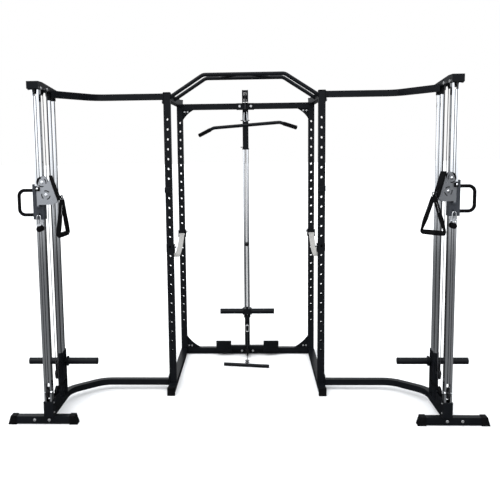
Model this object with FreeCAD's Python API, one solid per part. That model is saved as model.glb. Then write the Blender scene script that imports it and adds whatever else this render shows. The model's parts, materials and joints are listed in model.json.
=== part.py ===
import FreeCAD, Part
import math
import os

# Power cage with a rear lat tower and two cable towers on front outriggers.
# Millimetres, +Z up, front of the cage towards -Y, origin on the floor at the
# middle of the footprint.  "front" heights and depths below are measured from
# the front face of the front uprights and moved to the origin by yy().

V = FreeCAD.Vector

# ---- driving sizes -------------------------------------------------------
tube = 50.0                  # square tube of the cage and the feet
wall = 2.5                   # wall of every square tube
cage_width = 1170.0          # outside to outside of the uprights
cage_height = 2220.0         # top of the steel, without the plastic caps
cage_depth = 900.0           # front upright face to rear upright face
rail_overhang = 130.0        # base rail ahead of the front upright
hole_pitch = 72.0            # upright holes
hole_first = 306.0
hole_count = 25
hole_r = 9.0

arm = 45.0                   # outrigger tube
arm_low_z = 38.0             # underside of the lower outriggers
tower_x = 1315.0             # middle plane of each cable tower
column_y = -650.0            # column centre, ahead of the cage front
foot_y = -640.0
foot_length = 470.0
foot_shift = 45.0            # the foot reaches further outwards
foot_lift = 6.0              # rubber under the feet and rails
foot_slope = 18.0            # the feet end in sloping plastic shoes
rod_r = 12.5
rod_front = -355.0
rod_rear = -265.0

cable_r = 2.5
groove = 33.0                # cable centre line on every pulley
rim = 37.5
pulley_half = 7.0
axle_r = 6.0
cable_y = column_y - tube / 2 - 25.0        # front cable run
head_pulley_z = 2217.0
middle_y = -533.0
lift_y = -435.0              # pulley hanging on the side carriages
return_shift = 14.0          # sideways step of the return run
low_pulley_z = 225.0
back_pulley_z = 172.0
head_low = 2211.0            # underside of the pulley head

sleeve_low = 1383.0          # trolley on the column
sleeve_high = 1600.0
handle_x = tower_x + 42.0    # outer face of the trolley's spine
hinge_low = 1472.0           # lower and middle hinge of the pulley block
hinge_mid = 1565.0
hinge_r = 4.0
column_hole_first = 475.0
column_pitch = 85.0
pin_z = column_hole_first + 12 * column_pitch
horn_r = 24.0
horn_reach = 248.0
carriage_low = 190.0
carriage_high = 402.0
horn_z = 312.0
lift_z = 275.0

lat_rod_r = 10.0             # two guide rods side by side
lat_rod_x = 15.0
lat_rod_y = cage_depth + 101.0
lat_y = cage_depth + 68.0    # cable down through the upper post
lat_drop_y = 760.0           # cable to the lat bar
lat_seat = 326.0
lat_low = 343.0
lat_high = 396.0
lat_horn_y = 985.0
lat_horn_z = 368.0
lat_horn_reach = 240.0
lat_pulley_z = 2240.0
lat_bar_z = 2003.0
lat_bar_tilt = 3.3           # degrees, right end up, as it hangs
lat_bar_yaw = 20.0           # and right end nearer
low_wheel_y = 812.0
low_wheel_z = 49.0

right_swing = 22.0           # degrees the right pulley block stands turned to the front
front_reach = 824.0          # foremost point: the turned right hand grip
rear_reach = 1018.0          # back of the lat carriage
side = cage_width / 2
inner = side - tube
post_x = side - tube / 2
frame_low = foot_lift + tube


def yy(depth):
    """Depth behind the front upright face, moved to the footprint middle."""
    return depth + (front_reach - rear_reach) / 2


# ---- small shape helpers -------------------------------------------------
def box(x, y, z):
    return Part.makeBox(x[1] - x[0], y[1] - y[0], z[1] - z[0], V(x[0], yy(y[0]), z[0]))


def span(middle, width):
    return (middle - width / 2, middle + width / 2)


def bar_x(x0, x1, depth, z, r):
    return Part.makeCylinder(r, x1 - x0, V(x0, yy(depth), z), V(1, 0, 0))


def bar_y(x, d0, d1, z, r):
    return Part.makeCylinder(r, d1 - d0, V(x, yy(d0), z), V(0, 1, 0))


def bar_z(x, depth, z0, z1, r):
    return Part.makeCylinder(r, z1 - z0, V(x, yy(depth), z0))


def ring_z(x, depth, z0, z1, r, bore):
    return bar_z(x, depth, z0, z1, r).cut(bar_z(x, depth, z0 - 1, z1 + 1, bore))


def fused(shapes):
    shapes = list(shapes)
    return shapes[0].multiFuse(shapes[1:]).removeSplitter() if len(shapes) > 1 else shapes[0]


def group(shapes):
    return Part.makeCompound(list(shapes))


def mirrored(shape):
    return shape.mirror(V(0, 0, 0), V(1, 0, 0))


def both(shape):
    return [shape, mirrored(shape)]


def open_box(x, y, z, axis):
    """Square tube: the box with its bore cut along one axis."""
    spans = {"x": x, "y": y, "z": z}
    for name in spans:
        step = -1.0 if name == axis else wall
        spans[name] = (spans[name][0] + step, spans[name][1] - step)
    return box(x, y, z).cut(box(spans["x"], spans["y"], spans["z"]))


def rounded(shape, radius, pick):
    edges = [e for e in shape.Edges if pick(e)]
    return shape.makeFillet(radius, edges)


def along(axis):
    def pick(edge):
        if len(edge.Vertexes) != 2:
            return False
        step = edge.Vertexes[1].Point - edge.Vertexes[0].Point
        return step.Length > 5 and abs(abs(step.dot(axis)) / step.Length - 1) < 1e-6
    return pick


def bent_wire(points, radius):
    """Straight runs through the points with a tangent arc at every corner."""
    edges = []
    start = points[0]
    for before, corner, after in zip(points, points[1:], points[2:]):
        u = (before - corner).normalize()
        w = (after - corner).normalize()
        half = u.getAngle(w) / 2
        cut = radius / math.tan(half)
        middle = corner + (u + w).normalize() * (radius / math.sin(half) - radius)
        edges.append(Part.LineSegment(start, corner + u * cut))
        edges.append(Part.Arc(corner + u * cut, middle, corner + w * cut))
        start = corner + w * cut
    edges.append(Part.LineSegment(start, points[-1]))
    return Part.Wire([e.toShape() for e in edges])


def swept(wire, profile):
    return wire.makePipeShell([profile], True, False)


def circle_wire(point, direction, r):
    return Part.Wire(Part.makeCircle(r, point, direction))


def rod_along(wire, direction, r):
    return swept(wire, circle_wire(wire.OrderedVertexes[0].Point, direction, r))


def pipe_along(wire, direction, r, bore):
    return rod_along(wire, direction, r).cut(rod_along(wire, direction, bore))


def square_along(points, radius, size):
    """Bent square tube in a level plane, starting along X."""
    wire = bent_wire(points, radius)
    start = points[0]

    def profile(half):
        corners = [(-half, -half), (half, -half), (half, half), (-half, half), (-half, -half)]
        return Part.makePolygon([start + V(0, a, b) for a, b in corners])
    return swept(wire, profile(size / 2)).cut(swept(wire, profile(size / 2 - wall)))


def pulley(centre, axis, r, half):
    """Grooved wheel turned about its axis."""
    groove_r = groove - cable_r - 0.3
    side_points = [(axle_r + 0.05, half + 1), (14, half + 1), (14, half - 3), (r - 13, half - 3),
                   (r - 13, half), (r, half), (r, half - 2.5), (groove_r, cable_r + 0.3)]
    points = [V(a, 0, b) for a, b in side_points] + [V(a, 0, -b) for a, b in reversed(side_points)]
    face = Part.Face(Part.makePolygon(points + points[:1]))
    wheel = face.revolve(V(0, 0, 0), V(0, 0, 1), 360)
    wheel.Placement = FreeCAD.Placement(centre, FreeCAD.Rotation(V(0, 0, 1), axis))
    return wheel


def axle(centre, axis, half_length, gap):
    """Bolt through a wheel with a spacer on each side of it."""
    pin = Part.makeCylinder(axle_r, 2 * half_length, centre - axis * half_length, axis)
    shapes = [pin]
    for sign in (-1, 1):
        start = centre + axis * sign * gap
        shapes.append(Part.makeCylinder(10, half_length - gap, start, axis * sign))
    return fused(shapes)


def bolt(point, direction, r=9.0, height=6.5):
    """Hexagon head with a washer, standing on a surface."""
    washer = Part.makeCylinder(r * 1.25, 1.5, point, direction)
    corners = [V(r * math.cos(a), r * math.sin(a), 0) for a in
               [k * math.pi / 3 for k in range(6)] + [0.0]]
    head = Part.Face(Part.makePolygon(corners)).extrude(V(0, 0, height))
    head.Placement = FreeCAD.Placement(point, FreeCAD.Rotation(V(0, 0, 1), direction))
    return washer.fuse(head)


# ---- cable routes --------------------------------------------------------
class Plane:
    """Upright plane through a point; h runs level along it."""

    def __init__(self, x, depth, toward_x, toward_depth):
        self.origin = V(x, yy(depth), 0)
        self.h = V(toward_x - x, toward_depth - depth, 0).normalize()

    def at(self, h, z):
        return self.origin + self.h * h + V(0, 0, z)

    def axis(self):
        return V(0, 0, 1).cross(self.h)


def tangent_run(a, b):
    """Contact points of the straight run between two wheels (h, z, r, turn)."""
    dh, dz = b[0] - a[0], b[1] - a[1]
    offset = b[3] * b[2] - a[3] * a[2]
    length = math.sqrt(dh * dh + dz * dz - offset * offset)
    angle = math.atan2(dz, dh) - math.atan2(offset, length)
    left = (-math.sin(angle), math.cos(angle))
    return [(w[0] - w[3] * w[2] * left[0], w[1] - w[3] * w[2] * left[1]) for w in (a, b)]


def route(plane, wheels):
    """Edges of a cable over wheels; a wheel of radius 0 is an end point."""
    edges = []
    arrive = None
    for here, there in zip(wheels, wheels[1:]):
        leave, reach = tangent_run(here, there)
        if arrive is not None:
            a0 = math.atan2(arrive[1] - here[1], arrive[0] - here[0])
            a1 = math.atan2(leave[1] - here[1], leave[0] - here[0])
            while (a1 - a0) * here[3] < 0:
                a1 += here[3] * 2 * math.pi
            middle = (a0 + a1) / 2
            top = plane.at(here[0] + here[2] * math.cos(middle), here[1] + here[2] * math.sin(middle))
            edges.append(Part.Arc(plane.at(*arrive), top, plane.at(*leave)).toShape())
        edges.append(Part.LineSegment(plane.at(*leave), plane.at(*reach)).toShape())
        arrive = reach
    return edges


def cable(edges):
    wire = Part.Wire(edges)
    first = wire.OrderedVertexes[0].Point
    direction = edges[0].tangentAt(edges[0].FirstParameter)
    return swept(wire, circle_wire(first, direction, cable_r))


# ---- cage ----------------------------------------------------------------
def upright(depth):
    shape = open_box((inner, side), (depth, depth + tube), (frame_low, cage_height), "z")
    middle = depth + tube / 2
    holes = []
    for k in range(hole_count):
        z = hole_first + k * hole_pitch
        if z < cage_height - 1.6 * tube:
            holes.append(bar_y(post_x, depth - 1, depth + tube + 1, z, hole_r))
            holes.append(bar_x(inner - 1, side + 1, middle, z, hole_r))
    return shape.cut(group(holes))


def base_rail():
    return open_box((inner, side), (-rail_overhang, cage_depth + tube + 60), (foot_lift, frame_low), "y")


def top_rail():
    return open_box((inner, side), (tube, cage_depth), (cage_height - tube, cage_height), "y")


def crossmember(low):
    return open_box((-inner, inner), (cage_depth, cage_depth + tube), (low, low + tube), "x")


def gusset(high):
    """Corner plate with a slightly hollow edge, on the inside of a corner."""
    wide, tall = (92.0, 86.0) if high else (125.0, 110.0)
    z = cage_height - 1.56 * tube if high else frame_low
    down = -1 if high else 1
    y = yy(cage_depth + tube / 2 - 3)
    corner = V(inner, y, z)
    low = corner + V(0, 0, down * tall)
    side_end = corner + V(-wide, 0, 0)
    middle = corner + V(-wide * 0.43, 0, down * tall * 0.43)
    edges = [Part.LineSegment(corner, low), Part.Arc(low, middle, side_end),
             Part.LineSegment(side_end, corner)]
    return Part.Face(Part.Wire([e.toShape() for e in edges])).extrude(V(0, 6, 0))


def pullup_unit():
    """Two cranked bars joined by two slanted grips."""
    bar_r = 14.0
    flat_z = 2350.0
    flat_half = 295.0
    root_z = cage_height - tube / 2
    depths = (tube / 2, tube / 2 + 295)

    def cranked(depth, r, extra):
        y = yy(depth)
        points = [V(-inner, y, root_z), V(-flat_half, y, flat_z), V(flat_half, y, flat_z), V(inner, y, root_z)]
        first = (points[1] - points[0]).normalize()
        last = (points[3] - points[2]).normalize()
        points[0] -= first * extra
        points[3] += last * extra
        return rod_along(bent_wire(points, 60), first, r)

    rods = [cranked(depth, bar_r, 30) for depth in depths]
    for sign in (-1, 1):
        a = V(sign * 55, yy(depths[0]), flat_z)
        b = V(sign * 190, yy(depths[1]), flat_z)
        rods.append(Part.makeCylinder(bar_r - 0.5, (b - a).Length, a, b - a))
    shape = rods[0].multiFuse(rods[1:])
    shape = shape.common(box((-inner, inner), (-100, 600), (2000, 2500)))
    for depth in depths:
        shape = shape.cut(cranked(depth, bar_r - wall, 40))
    return shape


def foot_plate_set():
    """Cross bar with two raised foot plates in front of the rear crossmember."""
    front = cage_depth - 40
    strip = open_box((-273, 273), (front, cage_depth), (frame_low, frame_low + 30), "x")
    plates = []
    for sign in (-1, 1):
        slab = box(span(sign * 207, 132), (front - 14, front), (34, 134))
        ribs = [box(span(sign * 207, 126), (front - 16, front - 14), span(46 + 12 * k, 4)) for k in range(8)]
        plates.append(fused([slab] + ribs))
    return fused([strip] + plates)


# ---- lat tower -----------------------------------------------------------
def lat_rods(low, high, r=lat_rod_r):
    return [bar_z(sign * lat_rod_x, lat_rod_y, low, high, r) for sign in (-1, 1)]


def lat_upper():
    """Post with the pulley box; the cable runs down inside the post."""
    top = cage_height - tube + 22
    back = cage_depth + tube
    flange = box((-75, 75), (back, back + 6), (top - tube - 4, top + 4))
    post = open_box(span(0, tube), (back + 6, back + 6 + tube), (1812, top), "z")
    seat = box(span(0, tube + 8), (back + 6, lat_rod_y + 15), (1800, 1812))
    seat = seat.cut(bar_z(0, lat_y, 1790, 1820, 7))
    cheeks = []
    for sign in (-1, 1):
        cheek = box(span(sign * 23, 4), (lat_drop_y - 12, lat_y + 36), (top, 2292))
        nose = box(span(sign * 23, 6), (lat_drop_y - 40, lat_drop_y + 20), (top - 5, top + 40))
        cheeks.append(cheek.cut(nose))
    lid = box((-25, 25), (lat_drop_y + 26, lat_y), (2288, 2292))
    face = box((-25, 25), (lat_drop_y + 16, lat_drop_y + 20), (top + 4, 2292))
    face = face.cut(box((-6, 6), (lat_drop_y, lat_drop_y + 40), (lat_pulley_z - 45, 2280)))
    floor = box((-25, 25), (cage_depth - 4, back + 60), (top, top + 4)).cut(bar_z(0, lat_y, 2100, 2300, 7))
    axles = [axle(V(0, yy(y), lat_pulley_z), V(1, 0, 0), 25, pulley_half + 1.3)
             for y in (lat_drop_y + groove, lat_y - groove)]
    wheel_room = [bar_x(-10, 10, y, lat_pulley_z, rim + 1.5) for y in (lat_drop_y + groove, lat_y - groove)]
    pins = [bar_x(-42, 36, back + 6 + tube / 2, 2050, 3.5), bar_x(-44, -20, back + 6 + tube / 2, 1821, 3.5)]
    boxed = fused([flange, post, seat, lid, face, floor] + cheeks).cut(group(wheel_room))
    way = bar_z(0, lat_y, 1700, 2300, 7)
    return fused([boxed] + axles + [pin.cut(way) for pin in pins]).cut(group(lat_rods(1790, 1806)))


def lat_lower():
    back = cage_depth + tube
    flange = box((-75, 75), (back, back + 6), (foot_lift, foot_lift + tube + 10))
    post = open_box(span(0, 44), (back + 6, back + 6 + tube), (foot_lift + 4, lat_seat - 10), "z")
    seat = box(span(0, tube + 8), (back + 6, lat_rod_y + 15), (lat_seat - 10, lat_seat))
    peg = bar_y(0, low_wheel_y + groove - 9, back + 7, 262, 6)
    cheeks = []
    for sign in (-1, 1):
        cheeks.append(box(span(sign * 13, 4), (low_wheel_y - 18, cage_depth), (22, frame_low - 0.5)))
        cheeks.append(box(span(sign * 13, 4), (low_wheel_y - 18, low_wheel_y + 18), (22, 68)))
    pin = axle(V(0, yy(low_wheel_y), low_wheel_z), V(1, 0, 0), 15, pulley_half + 1.3)
    y = yy(low_wheel_y + groove)
    corners = [V(x, y, z) for x, z in ((2, 220), (12, 220), (12, 275), (-12, 275), (-12, 220), (2, 220))]
    snap = rod_along(bent_wire(corners, 8), V(1, 0, 0), 3)
    return [fused([flange, post, seat, peg]), fused(cheeks + [pin]), snap]


def lat_carriage():
    """Sleeve round both rods with a horn to each side, and the stop ball on its cable."""
    block = box((-33, 33), (lat_y - 14, lat_rod_y + 16), (lat_low, lat_high))
    block = rounded(block, 6, along(V(0, 0, 1)))
    horn = bar_x(-lat_horn_reach, lat_horn_reach, lat_horn_y, lat_horn_z, horn_r)
    collars = [bar_x(s * 37 - 4, s * 37 + 4, lat_horn_y, lat_horn_z, 33) for s in (-1, 1)]
    eye = bar_z(0, lat_y, lat_high - 2, lat_high + 14, 9)
    hub = fused([block, horn, eye] + collars).cut(group(lat_rods(0, 2000, lat_rod_r + 0.4)))
    ball = Part.makeSphere(18.5, V(0, yy(lat_y), 973)).cut(bar_z(0, lat_y, 900, 1050, cable_r + 0.3))
    return group([hub, ball])


def lat_bar():
    """Long bar with drooping rubber-covered ends, hung from a welded ring."""
    y = yy(lat_drop_y)
    points = [V(x, y, z) for x, z in ((-430, lat_bar_z - 53), (-293, lat_bar_z), (293, lat_bar_z),
                                      (430, lat_bar_z - 53))]
    wire = bent_wire(points, 70)
    first = (points[1] - points[0]).normalize()
    shape = rod_along(wire, first, 14).cut(rod_along(wire, first, 11))
    covers = []
    for end, corner in ((points[0], points[1]), (points[3], points[2])):
        way = (corner - end).normalize()
        start = end - way * 3
        cover = Part.makeCylinder(16.5, 112, start, way)
        covers.append(cover.cut(Part.makeCylinder(14, 110, start + way * 3, way)))
    saddle = box(span(0, 26), span(lat_drop_y, 8), (lat_bar_z + 8, lat_bar_z + 34))
    stem = bar_z(0, lat_drop_y, lat_bar_z + 30, lat_bar_z + 62, 7)
    stop = bar_z(0, lat_drop_y, lat_bar_z + 62, lat_bar_z + 128, 17)
    stop = rounded(stop, 13, lambda e: isinstance(e.Curve, Part.Circle))
    hung = fused([shape, saddle, stem, stop] + covers)
    top = V(0, y, lat_bar_z + 128)
    return hung.rotated(top, V(0, 1, 0), -lat_bar_tilt).rotated(top, V(0, 0, 1), -lat_bar_yaw)


def low_bar():
    """Short straight bar on a chain of four links, lying on the floor."""
    y = 545.0
    pitch = 24.0
    centres = [V(0, yy(y + 38 + pitch * k), 19) for k in range(4)]
    links = [Part.makeTorus(15, 3, c, V(k % 2 == 0, 0, k % 2)) for k, c in enumerate(centres)]
    bar = fused([bar_x(-190, 190, y, 15, 14), box(span(0, 8), (y, y + 27), (13, 25))])
    bar = bar.rotated(centres[0], V(0, 0, 1), -9)
    return group([bar.fuse(links[0])] + links[1:])


# ---- cable towers (drawn for the right side) -----------------------------
run_plane = Plane(tower_x, cable_y, tower_x, 0)
back_depth = lift_y + groove                       # run behind the hanging wheel
return_depth = back_depth - math.sqrt(4 * groove ** 2 - return_shift ** 2)
return_plane = Plane(tower_x, back_depth, tower_x - return_shift, return_depth)
base_plane = Plane(tower_x - return_shift, return_depth, tower_x, cable_y)
base_span = math.hypot(return_shift, return_depth - cable_y)
swivel_plane = Plane(tower_x, cable_y, tower_x - 100, cable_y)

entry_h, entry_z = groove, 1624.0                  # wheels in the swivel block
exit_h, exit_z = 56.0, 1543.0
link_h, link_z = 138.0, 1533.0                     # cable end at the stirrup
ring_x = tower_x - 155.0                           # steel ring of the stirrup
right_turn, left_turn = -66.0, -84.0               # how the hand grips hang, from their blocks


def upper_arm():
    y = yy(tube / 2)
    z = cage_height - arm / 2
    path = [V(side, y, z), V(1085, y, z), V(tower_x + 15, yy(-490), z)]
    bent = square_along(path, 130, arm)
    bent = bent.cut(box((tower_x - 37, 3000), (-900, 0), (2000, 2400)))
    plate = box((side, side + 6), (-12, tube + 12), (cage_height - 74, cage_height))
    shapes = [bent, plate]
    rear = -232.0
    front = cable_y - 18
    slope_from = column_y + 25
    low = head_low
    high = head_low + 47
    outline = [(front, low), (rear, low), (rear, cage_height + 2), (slope_from, high), (front, high)]
    for sign in (-1, 1):
        points = [V(tower_x + sign * 35 - 2, yy(d), z) for d, z in outline]
        shapes.append(Part.Face(Part.makePolygon(points + points[:1])).extrude(V(4, 0, 0)))
    shapes.append(box(span(tower_x, 74), (front, front + 4), (low, high)))
    shapes.append(box(span(tower_x, 68), (front, slope_from), (high - 3, high)))
    shapes.append(box(span(tower_x, 66), (rear - 4, rear), (low, cage_height + 2)))
    shapes.append(box(span(tower_x, 68), (rod_front - 30, rear), (low, low + 5)))
    for y in (rod_front, rod_rear):
        shapes.append(ring_z(tower_x, y, low - 52, low + 1, 18, rod_r))
    wheels = [(V(tower_x, yy(cable_y + groove), head_pulley_z), V(1, 0, 0)),
              (V(tower_x, yy(middle_y), head_pulley_z), V(1, 0, 0)),
              (return_plane.at(groove, head_pulley_z), return_plane.axis())]
    for k, (centre, axis) in enumerate(wheels):
        within = box(span(tower_x, 78), (front, rear), (low - 40, high))
        shapes.append(axle(centre, axis, 50, pulley_half + 1.3).common(within))
    walls = box(span(tower_x, tube), span(column_y, tube), (2100, 2250)).cut(
        box(span(tower_x, 20), span(column_y, tube + 2), (2000, 2300)))
    through = bar_x(tower_x - 39, tower_x + 39, cable_y + groove, head_pulley_z, axle_r)
    return fused(shapes).cut(walls).fuse(through)


def lower_arm():
    y = yy(20)
    z = arm_low_z + arm / 2
    path = [V(side, y, z), V(1090, y, z), V(tower_x, yy(-178), z), V(tower_x, yy(foot_y + tube / 2), z)]
    bent = square_along(path, 190, arm)
    plate = box((side, side + 6), (-14, tube + 14), (foot_lift + 4, 112))
    socket = open_box(span(tower_x, 62), span(column_y, 62), (foot_lift + tube, 162), "z")
    socket = socket.cut(box(span(tower_x, tube + 0.6), span(column_y, tube + 0.6), (110, 200)))
    shapes = [bent, plate, socket]
    centre = base_plane.at(groove, back_pulley_z)
    for sign in (-1, 1):
        cheek = box(span(centre.x + sign * 14, 4), (column_y + 29, return_depth - 8), (arm_low_z + arm - 1, 166))
        shapes.append(cheek)
    shapes.append(axle(centre, base_plane.axis(), 18, pulley_half + 1.3))
    for y in (rod_front, rod_rear):
        shapes.append(ring_z(tower_x, y, arm_low_z + arm - 0.5, 165, 20, rod_r))
    shapes.append(box(span(tower_x, 12), (rod_front + 16, rod_rear - 16), (arm_low_z + arm - 0.5, 150)))
    return fused(shapes)


def column():
    shape = open_box(span(tower_x, tube), span(column_y, tube), (110, 2250), "z")
    for low, high in ((160, 288), (2168, 2251)):
        shape = shape.cut(box(span(tower_x, 26), span(column_y, 60), (low, high)))
    holes = [bar_x(tower_x - 30, tower_x, column_y, column_hole_first + column_pitch * k, 6)
             for k in range(19)]
    head_hole = bar_x(tower_x - 30, tower_x + 30, cable_y + groove, head_pulley_z, axle_r)
    pin = axle(base_plane.at(base_span - groove, low_pulley_z), base_plane.axis(), 27, pulley_half + 1.3)
    return fused([shape.cut(group(holes + [head_hole])), pin])


def feet():
    shapes = []
    for s in (-1, 1):
        x = s * (tower_x + foot_shift)
        long = foot_length - 2 * foot_slope - 6
        shapes.append(open_box(span(x, long), span(foot_y, tube), (foot_lift, foot_lift + tube), "x"))
    return group(shapes)


def tower_rods():
    return [bar_z(tower_x, y, arm_low_z + arm, head_low, rod_r) for y in (rod_front, rod_rear)]


def carriage():
    y = rod_rear
    shapes = [ring_z(tower_x, d, carriage_low, carriage_high, 20, rod_r + 0.4) for d in (rod_front, rod_rear)]
    shapes.append(box(span(tower_x, 30), (rod_front + 15, rod_rear - 15), (carriage_low, carriage_high)))
    shapes.append(bar_x(tower_x - horn_reach, tower_x + horn_reach, y, horn_z, horn_r))
    shapes += [bar_x(tower_x + s * 30 - 4, tower_x + s * 30 + 4, y, horn_z, 36) for s in (-1, 1)]
    for s in (-1, 1):
        strap = box(span(tower_x + s * 12, 4), (lift_y - 14, rod_front - 10), (lift_z - 14, lift_z + 66))
        slope = box(span(tower_x + s * 12, 6), (lift_y - 20, lift_y + 12), (lift_z + 20, lift_z + 70))
        shapes.append(strap.cut(slope))
    shapes.append(axle(V(tower_x, yy(lift_y), lift_z), V(1, 0, 0), 17, pulley_half + 1.3))
    shape = fused(shapes)
    return shape.cut(group([bar_z(tower_x, d, 0, 2000, rod_r + 0.4) for d in (rod_front, rod_rear)]))


def trolley():
    outer = tube + 12
    sleeve = box(span(tower_x, outer), span(column_y, outer), (sleeve_low, sleeve_high))
    sleeve = rounded(sleeve, 4, along(V(0, 0, 1)))
    sleeve = sleeve.cut(box(span(tower_x, tube + 0.8), span(column_y, tube + 0.8), (1000, 2000)))
    front = column_y - outer / 2
    low_lug = box(span(tower_x, 30), (cable_y - 14, front + 1), (hinge_low - 8, hinge_low))
    low_lug = rounded(low_lug, 7, lambda e: along(V(0, 0, 1))(e) and e.CenterOfMass.y < yy(cable_y))
    lugs = [low_lug, bar_z(tower_x, cable_y, hinge_low - 1, hinge_low + 22, hinge_r)]
    tongue = box(span(tower_x, 13), (cable_y, front + 1), span(hinge_mid, 6))
    tongue = tongue.fuse(bar_z(tower_x, cable_y, hinge_mid - 3, hinge_mid + 3, 6.5))
    lugs.append(tongue.cut(bar_z(tower_x, cable_y, 1500, 1600, hinge_r + 0.05)))
    hang = box(span(tower_x, 6), (cable_y - 9, front + 1), (1400, 1424))
    lugs.append(hang.cut(bar_x(tower_x - 5, tower_x + 5, cable_y, 1411.5, 5)))
    spine = box((tower_x + outer / 2 - 1, handle_x), span(column_y - 12, 24), (sleeve_low, sleeve_high + 11))
    barrel = bar_x(tower_x - outer / 2 - 22, tower_x - outer / 2 + 1, column_y, pin_z, 11)
    shape = fused([sleeve, spine, barrel] + lugs)
    return shape.cut(bar_x(tower_x - 80, tower_x - 20, column_y, pin_z, 5.05))


def trolley_handle():
    """D handle with a rubber cover, on the outer side of the trolley."""
    y = yy(column_y - 12)
    low, high = sleeve_low + 30, sleeve_high - 29
    path = [V(handle_x, y, low), V(tower_x + 134, y, low), V(tower_x + 134, y, high), V(handle_x, y, high)]
    return rod_along(bent_wire(path, 38), V(1, 0, 0), 11)


def pull_pin():
    """Locking pin, drawn back clear of the column so that the trolley can slide."""
    shank = bar_x(tower_x - 90, tower_x - 31, column_y, pin_z, 5)
    knob = bar_x(tower_x - 97, tower_x - 72, column_y, pin_z, 15)
    knob = rounded(knob, 4, lambda e: isinstance(e.Curve, Part.Circle))
    return fused([shank, knob])


def plate_at(corners, depth, thick):
    """Flat piece in the plane of the block, from its outline (h, z)."""
    points = [swivel_plane.at(h, z) + V(0, depth, 0) for h, z in corners]
    return Part.Face(Part.makePolygon(points + points[:1])).extrude(V(0, thick, 0))


def swivel_cheek(depth):
    """Cheek of the block: humped over the upper wheel, slanted towards the nose."""
    corners = [(-4, 1481), (92, 1481), (120, 1493), (132, 1516), (83, 1656), (73, 1620), (62, 1654),
               (44, 1665), (22, 1652), (-4, 1585)]
    return plate_at(corners, depth, 3.5)


def nose_guard():
    """Thick plastic guard along the slanted edge, with a mouth for the cable."""
    corners = [(82.5, 1667), (92, 1665), (141, 1523), (136, 1508), (131.5, 1512)]
    guard = plate_at(corners, -24, 48)
    mouth = plate_at([(100, link_z - 11), (160, link_z - 11), (160, link_z + 18), (100, link_z + 18)], -6, 12)
    return guard.cut(mouth)


def swivel_block():
    """Two cheeks, the web in the nose, wheel bolts and the hinge rings."""
    web_edge = [(83, 1655), (80, 1645), (118, 1540), (112, 1497), (120, 1494), (131.5, 1516)]
    web = plate_at(web_edge, -8, 16)
    notch = plate_at([(-9, hinge_mid - 11), (10, hinge_mid - 11), (10, hinge_mid + 13), (-9, hinge_mid + 13)],
                     6.5, 5)
    posts = []
    axis = V(0, 1, 0)
    for h, z in ((entry_h, entry_z), (exit_h, exit_z)):
        posts.append(Part.makeCylinder(axle_r, 26, swivel_plane.at(h, z) - axis * 13, axis))
    posts.append(Part.makeCylinder(6, 20, swivel_plane.at(40, 1492) - axis * 10, axis))
    slots = [arc_slot(h, z, turn) for h, z, first in ((entry_h, entry_z, 100), (exit_h, exit_z, 40))
             for turn in (first, first + 120, first + 240)]
    rings = [ring_z(tower_x, cable_y, hinge_low + 0.4, hinge_low + 20, 8, hinge_r + 0.05),
             bar_z(tower_x, cable_y, hinge_mid - 14, hinge_mid - 3.4, 7.5),
             bar_z(tower_x, cable_y, hinge_mid + 3.4, hinge_mid + 14, 7.5),
             bar_z(tower_x, cable_y, hinge_mid - 12, hinge_mid + 12, hinge_r)]
    boss = plate_at([(-9, 1569), (17, 1569), (17, 1595), (-9, 1595)], -22, 11.5)
    shape = fused([swivel_cheek(-10.5), swivel_cheek(7.0), web]).cut(group(slots + [cable_slot(), notch]))
    body = fused([shape] + posts + [r.cut(clear_wheels()) for r in rings])
    return group([body, nose_guard().cut(body), boss])


def clear_wheels():
    return group([Part.makeCylinder(rim + 1, 16, swivel_plane.at(h, z) - V(0, 8, 0), V(0, 1, 0))
                  for h, z in ((entry_h, entry_z), (exit_h, exit_z))])


def cable_slot():
    """Clear way for the cable through the nose web."""
    leave, reach = tangent_run((link_h, link_z, 0, 1), (exit_h, exit_z, groove, 1))
    start, end = swivel_plane.at(*leave), swivel_plane.at(*reach)
    return Part.makeCylinder(4.5, (end - start).Length * 0.7, start, end - start)


def arc_slot(h, z, start, sweep=72):
    """Curved slot around a wheel bolt, cut through one cheek."""
    mid_r, half = 27.0, 3.4
    ends = []
    for radius in (mid_r - half, mid_r + half):
        angles = [math.radians(start + sweep * f) for f in (0, 0.5, 1)]
        ends.append([swivel_plane.at(h + radius * math.cos(a), z + radius * math.sin(a)) for a in angles])
    low, high = ends
    edges = [Part.Arc(*low), Part.LineSegment(low[2], high[2]),
             Part.Arc(high[2], high[1], high[0]), Part.LineSegment(high[0], low[0])]
    face = Part.Face(Part.Wire([e.toShape() for e in edges]))
    face.translate(V(0, -11, 0))
    return face.extrude(V(0, 22, 0))


def block_wheels():
    return [pulley(swivel_plane.at(h, z), V(0, 1, 0), rim, 6.0)
            for h, z in ((entry_h, entry_z), (exit_h, exit_z))]


def swung(shape):
    """The pulley block and its hand grip turned about the cable, as the right ones stand."""
    return shape.rotated(V(tower_x, yy(cable_y), 0), V(0, 0, 1), right_swing)


def turned(shape, angle):
    return shape.rotated(V(ring_x, yy(cable_y), 0), V(0, 0, 1), angle)


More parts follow.
